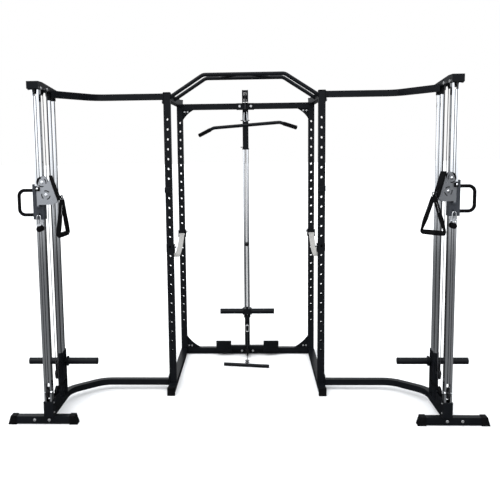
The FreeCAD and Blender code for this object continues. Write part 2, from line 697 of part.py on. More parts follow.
def stirrup(angle):
    """Webbing loop of a hand grip with the steel ring that carries it."""
    x = ring_x
    y = yy(cable_y)
    ring_z0 = link_z - 4
    ring = Part.makeTorus(12, 3, V(x, y, ring_z0), V(0, 1, 0))
    middle, crown = V(x + 10, y, link_z), V(x, y, ring_z0 + 12)
    shank = Part.makeCylinder(2.5, (crown - middle).Length, middle, crown - middle)
    stop = Part.makeSphere(5.5, middle).fuse(shank)
    top = V(x, y, ring_z0 - 14)
    grip_z = 1290.0
    straps = []
    for s in (-1, 1):
        foot = V(x + s * 72, y, grip_z)
        run = foot - top
        across = V(run.z, 0, -run.x).normalize() * 2.6
        corners = [top - across, top + across, foot + across, foot - across]
        face = Part.Face(Part.makePolygon([p + V(0, -13, 0) for p in corners + corners[:1]]))
        straps.append(face.extrude(V(0, 26, 0)))
    saddle = bar_y(x, cable_y - 13, cable_y + 13, ring_z0 - 15, 5)
    ends = [bar_x(x + s * 72 - 7, x + s * 72 + 7, cable_y, grip_z, 15) for s in (-1, 1)]
    bore = bar_x(x - 100, x + 100, cable_y, grip_z, 9)
    return fused([turned(fused(straps + [saddle, ring] + ends).cut(bore), angle), stop])


def hand_grip(angle):
    x = ring_x
    grip_z = 1290.0
    core = bar_x(x - 81, x + 81, cable_y, grip_z, 8.7)
    sponge = bar_x(x - 64, x + 64, cable_y, grip_z, 16)
    sponge = rounded(sponge, 5, lambda e: isinstance(e.Curve, Part.Circle))
    return turned(fused([core, sponge]), angle)


def cable_end():
    """Rubber stop ball on the cable and the snap link above it."""
    ball = Part.makeSphere(20, V(tower_x, yy(cable_y), 1323))
    y = yy(cable_y)
    wire = bent_wire([V(tower_x + 3, y, 1346), V(tower_x + 13, y, 1346), V(tower_x + 11, y, 1412),
                      V(tower_x - 11, y, 1412), V(tower_x - 13, y, 1346), V(tower_x + 3, y, 1346)], 6)
    link = rod_along(wire, V(1, 0, 0), 3.2)
    eye = bar_z(tower_x, cable_y, 1340, 1352, 5)
    return group([fused([ball, eye, link])])


def tower_cable(swing):
    """From the stirrup over every wheel and back to the snap link."""
    level = 1900.0
    angle = math.radians(swing)
    block_plane = Plane(tower_x, cable_y, tower_x - math.cos(angle), cable_y - math.sin(angle))
    first = route(block_plane, [(link_h, link_z, 0, 1), (exit_h, exit_z, groove, 1),
                                 (entry_h, entry_z, groove, -1), (0, level, 0, 1)])
    lift_h = lift_y - cable_y
    second = route(run_plane, [(0, level, 0, 1), (groove, head_pulley_z, groove, -1),
                               (middle_y - cable_y, head_pulley_z, groove, -1),
                               (lift_h, lift_z, groove, 1), (lift_h + groove, level, 0, 1)])
    third = route(return_plane, [(0, level, 0, 1), (groove, head_pulley_z, groove, -1),
                                 (2 * groove, level, 0, 1)])
    fourth = route(base_plane, [(0, level, 0, 1), (groove, back_pulley_z, groove, 1),
                                (base_span - groove, low_pulley_z, groove, 1), (base_span, 1302, 0, 1)])
    return cable(first + second + third + fourth)


def lat_cables():
    plane = Plane(0, lat_drop_y, 0, lat_drop_y + 100)
    reach = lat_y - lat_drop_y
    high = route(plane, [(0, lat_bar_z + 129.5, 0, 1), (groove, lat_pulley_z, groove, -1),
                         (reach - groove, lat_pulley_z, groove, -1), (reach, lat_high + 14.2, 0, 1)])
    low_plane = Plane(0, 640, 0, 740)
    low = route(low_plane, [(36, 19, 0, 1), (low_wheel_y - 640, low_wheel_z, groove, 1),
                            (low_wheel_y - 640 + groove, 214, 0, 1)])
    return group([cable(high), cable(low)])


# ---- rack accessories ----------------------------------------------------
def j_hook():
    z = hole_first + 17 * hole_pitch
    plate = box(span(post_x, 48), (-8, -0.4), (z - 26, z + 30))
    shelf = box(span(post_x, 44), (-62, -7), (z - 26, z - 16))
    lip = box(span(post_x, 44), (-62, -54), (z - 26, z + 14))
    lip = rounded(lip, 3.5, along(V(1, 0, 0)))
    peg = bar_y(post_x, -1, tube / 2 - 2, z, hole_r - 0.6)
    return fused([plate, shelf, lip, peg])


def safety_strap():
    """Belt hung slack between two brackets, each pinned to its upright from inside the cage."""
    z = hole_first + 11 * hole_pitch
    rod_z = z - 22
    sag = 118.0
    shapes = []
    ends = []
    for face, way in ((tube, 1), (cage_depth, -1)):
        high, low = z + 14, z - 48
        plate = box((inner - 8, side + 8), sorted((face + way * 0.5, face + way * 6.5)), (low, high))
        flank = box((inner - 8, inner - 0.4), sorted((face - way * 42, face + way * 6.5)), (low, high))
        pin = bar_x(inner - 1.4, inner + 22, face - way * tube / 2, z, hole_r - 0.6)
        cheeks = [box(span(post_x + sign * 27, 4), sorted((face + way * 6, face + way * 26)), (z - 34, z - 8))
                  for sign in (-1, 1)]
        rod = bar_x(post_x - 28, post_x + 28, face + way * 17, rod_z, 5)
        shapes.append(fused([plate, flank, pin, rod] + cheeks))
        ends.append(face + way * 17)
    middle = (ends[0] + ends[1]) / 2
    edges = []
    for lift in (-3, 3):
        a, b, c = [V(post_x - 22, yy(d), rod_z - drop + lift)
                   for d, drop in ((ends[0], 0), (middle, sag), (ends[1], 0))]
        edges.append(Part.Arc(a, b, c) if lift < 0 else Part.Arc(c, b, a))
    first, last = edges
    loop = [first, Part.LineSegment(first.EndPoint, last.StartPoint), last,
            Part.LineSegment(last.EndPoint, first.StartPoint)]
    belt = Part.Face(Part.Wire([e.toShape() for e in loop])).extrude(V(44, 0, 0))
    eyes = [bar_x(post_x - 22, post_x + 22, d, rod_z, 8.5) for d in ends]
    belt = fused([belt] + eyes).cut(group([bar_x(post_x - 30, post_x + 30, d, rod_z, 5.2) for d in ends]))
    return group(shapes + [belt])


# ---- small parts ---------------------------------------------------------
def caps():
    """Plastic caps, rubber feet and the bumpers under the carriages."""
    shapes = []
    for depth in (0, cage_depth):
        cap = box((inner - 1.5, side + 1.5), (depth - 1.5, depth + tube + 1.5), (cage_height, cage_height + 9))
        shapes.append(rounded(cap, 4, lambda e: e.CenterOfMass.z > cage_height + 8))
    ends = ((-rail_overhang, -1), (cage_depth + tube + 60, 1))
    for depth, out in ends:
        near, far = sorted((depth - out * 22, depth + out * 4))
        shell = box((inner - 3, side + 3), (near, far), (0, frame_low + 3))
        shapes.append(shell.cut(box((inner, side), sorted((depth - out * 30, depth)), (foot_lift, frame_low))))
    for out in (-1, 1):
        end = tower_x + foot_shift + out * foot_length / 2
        top = foot_lift + tube + 4
        corners = [(end - out * 56, 0), (end, 0), (end - out * foot_slope, top), (end - out * 56, top)]
        points = [V(x, yy(foot_y - tube / 2 - 4), z) for x, z in corners]
        shell = Part.Face(Part.makePolygon(points + points[:1])).extrude(V(0, tube + 8, 0))
        core = sorted((end - out * 60, end - out * (foot_slope + 3)))
        shapes.append(shell.cut(box(core, span(foot_y, tube), (foot_lift, foot_lift + tube))))
    return [one for shape in shapes for one in both(shape)]


def bumpers():
    shapes = []
    for d in (rod_front, rod_rear):
        shapes += both(ring_z(tower_x, d, 165, carriage_low, 20, rod_r + 0.02))
    for x in (-lat_rod_x, lat_rod_x):
        shapes.append(ring_z(x, lat_rod_y, lat_seat, lat_low, 14.5, lat_rod_r + 0.02))
    return shapes


def bolts():
    shapes = []
    low = foot_lift + tube / 2
    right = []
    for z in (24, 98):
        right.append(bolt(V(side + 6, yy(-4), z), V(1, 0, 0), 6))
        right.append(bolt(V(side + 6, yy(tube + 5), z), V(1, 0, 0), 6))
    for depth in (8, tube - 8):
        right.append(bolt(V(side + 6, yy(depth), cage_height - 62), V(1, 0, 0), 6))
    for z, x in ((cage_height - 94, inner - 16), (cage_height - 94, inner - 42), (frame_low + 16, inner - 16),
                 (frame_low + 16, inner - 42)):
        right.append(bolt(V(x, yy(cage_depth + tube / 2 - 3), z), V(0, -1, 0), 6))
    for x in (-43, 56):
        right.append(bolt(V(tower_x + foot_shift + x, yy(foot_y - tube / 2), low), V(0, -1, 0), 8))
    for depth in (cable_y + groove, middle_y):
        right.append(bolt(V(tower_x - 39, yy(depth), head_pulley_z), V(-1, 0, 0), 9))
    for depth in (cable_y + groove, middle_y, return_plane.at(groove, 0).y - yy(0)):
        right.append(bolt(V(tower_x + 39, yy(depth), head_pulley_z), V(1, 0, 0), 9))
    for z in (80, 146):
        right.append(bolt(V(tower_x - 31, yy(column_y), z), V(-1, 0, 0), 5, 4))
    for one in right:
        shapes += both(one)
    for z in (cage_height - 53, foot_lift + 24):
        for x in (-48, 48):
            shapes.append(bolt(V(x, yy(cage_depth), z), V(0, -1, 0), 8))
    return shapes


def idlers():
    right = [pulley(V(tower_x, yy(middle_y), head_pulley_z), V(1, 0, 0), rim, pulley_half),
             pulley(return_plane.at(groove, head_pulley_z), return_plane.axis(), rim, pulley_half),
             pulley(base_plane.at(groove, back_pulley_z), base_plane.axis(), rim, pulley_half)]
    shapes = [s for one in right for s in both(one)]
    for y in (lat_drop_y + groove, lat_y - groove):
        shapes.append(pulley(V(0, yy(y), lat_pulley_z), V(1, 0, 0), rim, pulley_half))
    shapes.append(pulley(V(0, yy(low_wheel_y), low_wheel_z), V(1, 0, 0), rim, 6.0))
    return shapes


def save(name, shape):
    shape.exportStep("parts/" + name + ".step")


def save_pair(name, shape):
    save(name + "_right", shape)
    save(name + "_left", mirrored(shape))


def build():
    os.makedirs("parts", exist_ok=True)
    save_pair("front_upright", upright(0.0))
    save_pair("rear_upright", upright(cage_depth))
    save_pair("base_rail", base_rail())
    save_pair("top_rail", top_rail())
    save("rear_crossmembers", group([crossmember(foot_lift), crossmember(cage_height - 1.56 * tube)]))
    save("corner_gussets", group(both(gusset(True)) + both(gusset(False))))
    save("pullup_bar", pullup_unit())
    save("foot_plates", foot_plate_set())
    save("lat_upper_post", lat_upper())
    save("lat_lower_post", group(lat_lower()))
    save("lat_guide_rods", group(lat_rods(lat_seat, 1806)))
    save("lat_carriage", lat_carriage())
    save("lat_bar", lat_bar())
    save("low_bar", low_bar())
    save_pair("upper_arm", upper_arm())
    save_pair("lower_arm", lower_arm())
    save_pair("column", column())
    save("tower_feet", feet())
    save("tower_guide_rods", group([s for rod in tower_rods() for s in both(rod)]))
    save_pair("carriage", carriage())
    save_pair("trolley", trolley())
    save_pair("trolley_handle", trolley_handle())
    save_pair("pull_pin", pull_pin())
    blocks = (("swivel_block", swivel_block()), ("block_pulleys", group(block_wheels())))
    for name, shape in blocks:
        save(name + "_right", swung(shape))
        save(name + "_left", mirrored(shape))
    save("strap_right", swung(stirrup(right_turn)))
    save("strap_left", mirrored(stirrup(left_turn)))
    save("hand_grip_right", swung(hand_grip(right_turn)))
    save("hand_grip_left", mirrored(hand_grip(left_turn)))
    save_pair("cable_end", cable_end())
    save_pair("head_pulley", pulley(V(tower_x, yy(cable_y + groove), head_pulley_z), V(1, 0, 0), rim, pulley_half))
    save_pair("lift_pulley", pulley(V(tower_x, yy(lift_y), lift_z), V(1, 0, 0), rim, pulley_half))
    save_pair("base_pulley", pulley(base_plane.at(base_span - groove, low_pulley_z),
                                    base_plane.axis(), rim, pulley_half))
    save_pair("j_hook", j_hook())
    save_pair("safety_strap", safety_strap())
    save("tower_cable_right", tower_cable(right_swing))
    save("tower_cable_left", mirrored(tower_cable(0.0)))
    save("lat_cables", lat_cables())
    save("caps_and_bumpers", group(caps() + bumpers()))
    save("frame_bolts", group(bolts()))
    save("idler_pulleys", group(idlers()))


build()
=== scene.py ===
import json
import math

import bmesh
import bpy
from mathutils import Matrix, Vector


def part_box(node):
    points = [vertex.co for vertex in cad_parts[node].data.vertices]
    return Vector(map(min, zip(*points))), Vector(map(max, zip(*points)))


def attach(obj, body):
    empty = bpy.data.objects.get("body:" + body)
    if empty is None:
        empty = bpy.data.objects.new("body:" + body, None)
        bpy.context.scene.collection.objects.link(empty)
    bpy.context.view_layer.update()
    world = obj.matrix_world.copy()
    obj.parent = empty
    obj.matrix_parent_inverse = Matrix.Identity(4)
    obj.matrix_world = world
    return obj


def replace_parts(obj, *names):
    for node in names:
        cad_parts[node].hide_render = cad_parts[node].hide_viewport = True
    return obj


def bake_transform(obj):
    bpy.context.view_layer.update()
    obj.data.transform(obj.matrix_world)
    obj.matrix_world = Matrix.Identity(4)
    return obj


# Power cage with a lat tower and two cable towers.  Metres, in the frame of the
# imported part: X to the right, the front towards -Y, Z up.

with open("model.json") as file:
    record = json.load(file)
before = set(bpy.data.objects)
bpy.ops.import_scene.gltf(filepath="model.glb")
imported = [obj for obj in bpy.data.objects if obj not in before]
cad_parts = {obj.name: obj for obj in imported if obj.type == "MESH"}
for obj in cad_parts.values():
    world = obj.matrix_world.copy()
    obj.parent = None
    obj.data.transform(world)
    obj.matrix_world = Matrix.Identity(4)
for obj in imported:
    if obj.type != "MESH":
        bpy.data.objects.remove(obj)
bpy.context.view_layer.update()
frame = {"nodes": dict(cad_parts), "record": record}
nodes = frame["nodes"]
SIDES = (("right", 1), ("left", -1))
UP = Vector((0, 0, 1))


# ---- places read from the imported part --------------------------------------
def middle(node):
    low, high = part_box(node)
    return (low + high) / 2


head = middle("head_pulley_right")
lift = middle("lift_pulley_right")
base = middle("base_pulley_right")
rim = (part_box("head_pulley_right")[1].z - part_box("head_pulley_right")[0].z) / 2
wheel_r = rim - 0.0045                      # cable centre line on a wheel
cable_r = 0.0025
run_y = head.y - wheel_r                    # front run of the tower cable
tower_x = head.x
return_shift = 0.014                        # how far the return run steps in towards the cage
middle_y = head.y + 0.134                   # second wheel of the tower head
back_y = lift.y + wheel_r                   # run behind the carriage's wheel
return_y = back_y - math.sqrt(4 * wheel_r ** 2 - return_shift ** 2)
back_wheel_z = base.z - 0.053               # idler at the back of the base
sleeve_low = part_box("trolley_right")[0].z   # lower edge of the trolley's sleeve
entry_z = sleeve_low + 0.241                # upper and lower wheel of the swivelling block
exit_h = 0.056
exit_z = sleeve_low + 0.160
link_h = 0.1380                             # where the cable meets the stirrup
link_z = sleeve_low + 0.150
ring_h = 0.155                              # steel ring of the stirrup
grip_z = middle("hand_grip_right").z
swing = {"right": math.radians(22), "left": 0.0}                # turn of each pulley block
hang = {"right": math.radians(-66), "left": math.radians(-84)}  # and of each hand grip, from its block
facing = {"right": math.radians(-35), "left": math.radians(40)}  # where each webbing faces at the top
ball_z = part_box("cable_end_right")[0].z + 0.020
lat_bar_tilt = math.radians(3.3)
lat_bar_yaw = math.radians(20)
lat_cable_reach = 0.208                     # from the lat bar's run to the carriage's run
low_wheel_h = 0.136                         # low wheel, behind the front end of the low cable
front_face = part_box("front_upright_right")[0].y
eased = 0.0012                              # bevel on plates and mouldings
rod_y = 0.017                               # a safety belt's rod, off the upright's face


def in_block(side, h, across, z):
    """Point of a pulley block: h out from the cable line, across to the back."""
    turn = swing[side]
    sign = 1 if side == "right" else -1
    x = tower_x - h * math.cos(turn) - across * math.sin(turn)
    return Vector((sign * x, run_y - h * math.sin(turn) + across * math.cos(turn), z))


def in_stirrup(side, u, v, z):
    """Point of a hand grip: u along the grip from under its ring, v square to it."""
    a = hang[side]
    return in_block(side, ring_h - u * math.cos(a) + v * math.sin(a), u * math.sin(a) + v * math.cos(a), z)


def block_way(side, h, across):
    """Level direction in a pulley block, of unit length."""
    return (in_block(side, h, across, 0) - in_block(side, 0, 0, 0)).normalized()


def grip_way(side, u, v):
    """Level direction in a hand grip, of unit length."""
    return (in_stirrup(side, u, v, 0) - in_stirrup(side, 0, 0, 0)).normalized()


# ---- shader helpers --------------------------------------------------------
class Surface:
    """A Principled material with short calls for the usual procedural parts."""

    def __init__(self, name, metallic=0.0, specular=0.5, coat=0.0):
        self.material = bpy.data.materials.new(name)
        self.material.use_nodes = True
        self.tree = self.material.node_tree
        self.shader = self.tree.nodes["Principled BSDF"]
        self.shader.inputs["Metallic"].default_value = metallic
        self.shader.inputs["Specular IOR Level"].default_value = specular
        self.shader.inputs["Coat Weight"].default_value = coat
        self.place = self.tree.nodes.new("ShaderNodeTexCoord").outputs["Object"]

    def link(self, a, b):
        self.tree.links.new(a, b)

    def stretched(self, scale):
        mapping = self.tree.nodes.new("ShaderNodeMapping")
        mapping.inputs["Scale"].default_value = scale
        self.link(self.place, mapping.inputs["Vector"])
        return mapping.outputs["Vector"]

    def noise(self, scale, detail=3.0, roughness=0.5, stretch=None):
        node = self.tree.nodes.new("ShaderNodeTexNoise")
        node.inputs["Scale"].default_value = scale
        node.inputs["Detail"].default_value = detail
        node.inputs["Roughness"].default_value = roughness
        self.link(self.stretched(stretch) if stretch else self.place, node.inputs["Vector"])
        return node.outputs["Fac"]

    def cells(self, scale, feature="F1"):
        node = self.tree.nodes.new("ShaderNodeTexVoronoi")
        node.feature = feature
        node.inputs["Scale"].default_value = scale
        self.link(self.place, node.inputs["Vector"])
        return node.outputs["Distance"]

    def wave(self, scale, direction="Z", kind="BANDS", distortion=0.0):
        node = self.tree.nodes.new("ShaderNodeTexWave")
        node.wave_type = kind
        if kind == "BANDS":
            node.bands_direction = direction
        else:
            node.rings_direction = direction
        node.inputs["Scale"].default_value = scale
        node.inputs["Distortion"].default_value = distortion
        self.link(self.place, node.inputs["Vector"])
        return node.outputs["Fac"]

    def ramp(self, value, low, high, colour_a, colour_b):
        node = self.tree.nodes.new("ShaderNodeValToRGB")
        stops = node.color_ramp.elements
        stops[0].position, stops[1].position = low, high
        stops[0].color, stops[1].color = (*colour_a, 1), (*colour_b, 1)
        self.link(value, node.inputs["Fac"])
        return node.outputs["Color"]

    def span(self, value, low, high):
        node = self.tree.nodes.new("ShaderNodeMapRange")
        node.inputs["To Min"].default_value = low
        node.inputs["To Max"].default_value = high
        self.link(value, node.inputs["Value"])
        return node.outputs["Result"]

    def math(self, operation, a, b):
        node = self.tree.nodes.new("ShaderNodeMath")
        node.operation = operation
        for socket, value in zip(node.inputs, (a, b)):
            if isinstance(value, float):
                socket.default_value = value
            else:
                self.link(value, socket)
        return node.outputs["Value"]

    def colour(self, value, a, b, low=0.3, high=0.7):
        self.link(self.ramp(value, low, high, a, b), self.shader.inputs["Base Color"])

    def roughness(self, value, low, high):
        self.link(self.span(value, low, high), self.shader.inputs["Roughness"])

    def bump(self, height, strength, distance):
        node = self.tree.nodes.new("ShaderNodeBump")
        node.inputs["Strength"].default_value = strength
        node.inputs["Distance"].default_value = distance
        self.link(height, node.inputs["Height"])
        self.link(node.outputs["Normal"], self.shader.inputs["Normal"])


def powder_coat(name, dark, light, rough, specular, metallic=0.0):
    """Powder coat: orange-peel skin, with clouding in its colour and gloss."""
    s = Surface(name, metallic, specular)
    cloud = s.noise(7.0, 4.0, 0.6)
    peel = s.noise(420.0, 2.0)
    s.colour(s.math("ADD", s.math("MULTIPLY", cloud, 0.7), s.math("MULTIPLY", peel, 0.3)), dark, light)
    s.roughness(cloud, *rough)
    s.bump(peel, 0.25, 0.0006)
    return s.material


def chromed(name):
    """Hard chrome with drawn lines along the bar and faint hazy patches."""
    s = Surface(name, metallic=1.0)
    drawn = s.noise(60.0, 3.0, stretch=(14, 14, 0.25))
    haze = s.noise(3.0, 2.0)
    s.colour(haze, (0.84, 0.85, 0.87), (0.91, 0.92, 0.93))
    s.roughness(s.math("MULTIPLY", drawn, haze), 0.05, 0.16)
    s.bump(drawn, 0.02, 0.0002)
    return s.material


def zinc_plate(name):
    """Bright zinc with a fine grain and paler patches."""
    s = Surface(name, metallic=1.0)
    grain = s.noise(900.0, 2.0)
    patch = s.noise(90.0, 3.0)
    s.colour(patch, (0.55, 0.55, 0.56), (0.78, 0.78, 0.77))
    s.roughness(grain, 0.22, 0.40)
    s.bump(grain, 0.12, 0.0003)
    return s.material


def moulded_plastic(name, dark, light):
    """Moulded plastic with a fine cast grain."""
    s = Surface(name, specular=0.04)
    grain = s.cells(900.0)
    cloud = s.noise(25.0, 3.0)
    s.colour(cloud, dark, light)
    s.roughness(grain, 0.42, 0.60)
    s.bump(grain, 0.30, 0.0005)
    return s.material


def matt_rubber(name, dark, light):
    """Rubber with small pores and a little dust."""
    s = Surface(name, specular=0.025)
    dust = s.noise(60.0, 5.0, 0.7)
    pores = s.cells(1500.0)
    s.colour(dust, dark, light)
    s.roughness(dust, 0.65, 0.85)
    s.bump(pores, 0.25, 0.0004)
    return s.material


def foam_rubber(name):
    """Soft foam; its cells show as a coarse bump."""
    s = Surface(name, specular=0.025)
    cells = s.cells(700.0, "SMOOTH_F1")
    cloud = s.noise(40.0, 3.0)
    s.colour(cloud, (0.0015, 0.0015, 0.0018), (0.0045, 0.0045, 0.0050))
    s.roughness(cells, 0.70, 0.90)
    s.bump(cells, 0.5, 0.0010)
    return s.material


def woven_webbing(name, dark, light):
    """Nylon webbing: close ribs across the band and a finer twill between them."""
    s = Surface(name, specular=0.03)
    ribs = s.wave(260.0, "Z")
    twill = s.wave(420.0, "DIAGONAL")
    weave = s.math("MULTIPLY", ribs, s.math("ADD", s.math("MULTIPLY", twill, 0.5), 0.5))
    s.colour(weave, dark, light, 0.1, 0.9)
    s.roughness(weave, 0.62, 0.82)
    s.bump(weave, 0.6, 0.0008)
    return s.material


def cable_jacket(name):
    """Nylon jacket over a steel cable; the strands show faintly through it."""
    s = Surface(name, specular=0.5, coat=0.3)
    strands = s.wave(330.0, "DIAGONAL")
    dust = s.noise(30.0, 4.0)
    s.colour(dust, (0.010, 0.010, 0.012), (0.030, 0.030, 0.033))
    s.roughness(strands, 0.25, 0.38)
    s.bump(strands, 0.15, 0.0004)
    return s.material


def turned_nylon(name):
    """Nylon wheel with the rings that turning leaves."""
    s = Surface(name, specular=0.08)
    rings = s.wave(400.0, "X", "RINGS")
    cloud = s.noise(30.0, 3.0)
    s.colour(cloud, (0.002, 0.002, 0.0024), (0.006, 0.006, 0.0068))
    s.roughness(rings, 0.35, 0.50)
    s.bump(rings, 0.2, 0.0003)
    return s.material


def floor_paint(name):
    """Pale studio floor."""
    s = Surface(name, specular=0.1)
    cloud = s.noise(1.5, 3.0)
    s.colour(cloud, (0.86, 0.86, 0.86), (0.89, 0.89, 0.89))
    s.roughness(cloud, 0.75, 0.85)
    return s.material


LOOKS = {
    "powder_black": powder_coat("powder_black", (0.0024, 0.0028, 0.0036), (0.0050, 0.0058, 0.0074),
                                rough=(0.26, 0.36), specular=0.10),
    "chrome": chromed("chrome"),
    "grey_plate": powder_coat("grey_plate", (0.330, 0.340, 0.360), (0.400, 0.410, 0.430),
                              rough=(0.24, 0.32), specular=0.5, metallic=0.85),
    "slate": powder_coat("slate", (0.022, 0.024, 0.030), (0.036, 0.040, 0.048),
                         rough=(0.34, 0.46), specular=0.2),
    "zinc": zinc_plate("zinc"),
    "black_plastic": moulded_plastic("black_plastic", (0.0015, 0.0015, 0.0018), (0.0040, 0.0040, 0.0045)),
    "rubber": matt_rubber("rubber", (0.0015, 0.0015, 0.0018), (0.0045, 0.0045, 0.0050)),
    "webbing": woven_webbing("webbing", (0.0010, 0.0010, 0.0012), (0.0060, 0.0060, 0.0068)),
    "belt": woven_webbing("belt", (0.26, 0.255, 0.245), (0.44, 0.43, 0.41)),
    "foam": foam_rubber("foam"),
    "cable_black": cable_jacket("cable_black"),
    "nylon_wheel": turned_nylon("nylon_wheel"),
}


# ---- mesh helpers ----------------------------------------------------------
def finished(name, bm, slot, body=None, smooth=math.radians(35)):
    """Mesh object from bmesh data, with its finish and the body it rides on."""
    bmesh.ops.recalc_face_normals(bm, faces=bm.faces)
    mesh = bpy.data.meshes.new(name)
    bm.to_mesh(mesh)
    bm.free()
    piece = bpy.data.objects.new(name, mesh)
    bpy.context.scene.collection.objects.link(piece)
    for polygon in mesh.polygons:
        polygon.use_smooth = True
    mesh.set_sharp_from_angle(angle=smooth)
    mesh.materials.append(LOOKS[slot])
    if body:
        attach(piece, body)
    return piece


def flipped(points, sign):
    """The points of the right side, or their mirror on the left."""
    return [Vector((p[0] * sign, p[1], p[2])) for p in points]


def angles(first, stop, step):
    """Angles in radians, from whole degrees."""
    return [math.radians(d) for d in range(first, stop, step)]


def bent(points, radius, steps):
    """The points joined by straight runs, with an arc at every corner."""
    points = [Vector(p) for p in points]
    path = [points[0]]
    for before, corner, after in zip(points, points[1:], points[2:]):
        u = (before - corner).normalized()
        w = (after - corner).normalized()
        half = u.angle(w) / 2
        centre = corner + (u + w).normalized() * (radius / math.sin(half))
        start = corner + u * (radius / math.tan(half)) - centre
        end = corner + w * (radius / math.tan(half)) - centre
        turn = start.angle(end)
        for k in range(steps + 1):
            a, b = math.sin(turn * (1 - k / steps)), math.sin(turn * k / steps)
            path.append(centre + (start * a + end * b) / math.sin(turn))
    return path + [points[-1]]


def rounded_loop(points, radius, steps):
    """Closed path through the points with an arc at every corner."""
    count = len(points)
    path = []
    for k in range(count):
        before, corner, after = points[k - 1], points[k], points[(k + 1) % count]
        path += bent([before.lerp(corner, 0.5), corner, after.lerp(corner, 0.5)], radius, steps)[1:-1]
    return path


def frames_along(path, closed=False):
    """Direction and two cross vectors at each point, without twist."""
    count = len(path)
    result = []
    side = None
    for k in range(count):
        before = path[(k - 1) % count] if closed or k else path[0]
        after = path[(k + 1) % count] if closed or k < count - 1 else path[-1]
        ahead = (after - before).normalized()
        if side is None:
            side = ahead.orthogonal().normalized()
        side = (side - ahead * side.dot(ahead)).normalized()
        result.append((ahead, side, ahead.cross(side)))
    return result


def skin(bm, rings, closed=False):
    """Faces between neighbouring rings, and over both ends unless the rings close."""
    size = len(rings[0])
    pairs = list(zip(rings, rings[1:]))
    if closed:
        pairs.append((rings[-1], rings[0]))
    for near, far in pairs:
        for k in range(size):
            bm.faces.new((near[k], near[(k + 1) % size], far[(k + 1) % size], far[k]))
    if not closed:
        bm.faces.new(rings[0])
        bm.faces.new(list(reversed(rings[-1])))


def sweep(bm, path, section, closed=False, cross=None):
    """Skins a closed section of (a, b) offsets along a path."""
    rings = []
    for point, (ahead, side, other) in zip(path, frames_along(path, closed)):
        if cross is not None:
            side = (cross - ahead * cross.dot(ahead)).normalized()
            other = ahead.cross(side)
        rings.append([bm.verts.new(point + side * a + other * b) for a, b in section])
    skin(bm, rings, closed)


def circle(r, sides):
    """Round section of so many sides."""
    turns = [2 * math.pi * k / sides for k in range(sides)]
    return [(r * math.cos(a), r * math.sin(a)) for a in turns]


def rod(bm, start, end, r, sides):
    """Straight round rod."""
    sweep(bm, [start, start.lerp(end, 0.5), end], circle(r, sides))


def lathe(bm, profile, place, axis, sides):
    """Turns (distance along the axis, radius) pairs about the axis."""
    axis = axis.normalized()
    side = axis.orthogonal().normalized()
    other = axis.cross(side)
    rings = []
    for along, radius in profile:
        rings.append([bm.verts.new(place + axis * along + side * (radius * a) + other * (radius * b))
                      for a, b in circle(1, sides)])
    skin(bm, rings)


def hex_bolt(bm, place, axis, across, height, washer):
    """Washer and a chamfered hexagon head; across is the radius to its corners."""
    top = 0.0017
    lathe(bm, [(0, washer), (0.0014, washer), (top, washer - 0.0006), (top, 0.002)], place, axis, 28)
    lathe(bm, [(top, across), (top + height * 0.8, across), (top + height, across * 0.86)], place, axis, 6)


# ---- cables ----------------------------------------------------------------
class Plane:
    """Upright plane of a cable run; h runs level along it."""

    def __init__(self, origin, toward):
        self.origin = Vector((origin[0], origin[1], 0))
        self.h = Vector((toward[0] - origin[0], toward[1] - origin[1], 0)).normalized()

    def at(self, h, z):
        return self.origin + self.h * h + UP * z


def tangent_run(a, b):
    """Contact points of the straight run between wheels (h, z, r, turn)."""
    dh, dz = b[0] - a[0], b[1] - a[1]
    offset = b[3] * b[2] - a[3] * a[2]
    length = math.sqrt(dh * dh + dz * dz - offset * offset)
    angle = math.atan2(dz, dh) - math.atan2(offset, length)
    left = (-math.sin(angle), math.cos(angle))
    return [(w[0] - w[3] * w[2] * left[0], w[1] - w[3] * w[2] * left[1]) for w in (a, b)]


def wrap(wheel, arrive, leave):
    """Points of the cable round one wheel."""
    steps = 14
    a0 = math.atan2(arrive[1] - wheel[1], arrive[0] - wheel[0])
    a1 = math.atan2(leave[1] - wheel[1], leave[0] - wheel[0])
    while (a1 - a0) * wheel[3] < 0:
        a1 += wheel[3] * 2 * math.pi
    return [(wheel[0] + wheel[2] * math.cos(a0 + (a1 - a0) * k / steps),
             wheel[1] + wheel[2] * math.sin(a0 + (a1 - a0) * k / steps)) for k in range(steps + 1)]


def route(plane, wheels):
    """Straight runs and wraps, in turn, as lists of points."""
    parts = []
    arrive = None
    for here, there in zip(wheels, wheels[1:]):
        leave, reach = tangent_run(here, there)
        if arrive is not None:
            parts.append([plane.at(*p) for p in wrap(here, arrive, leave)])
        parts.append([plane.at(*leave), plane.at(*reach)])
        arrive = reach
    return parts


def divided(path, step=0.03):
    """A straight run cut into short lengths."""
    count = max(2, int((path[-1] - path[0]).length / step))
    return [path[0].lerp(path[-1], k / count) for k in range(count + 1)]


def cable_piece(name, path, body=None, between=None):
    """Length of cable that rides one body; one that runs between two is left in place, riding neither."""
    bm = bmesh.new()
    sweep(bm, path, circle(cable_r, 10))
    piece = finished(name, bm, "cable_black", body)
    if between:
        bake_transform(piece)
    return piece


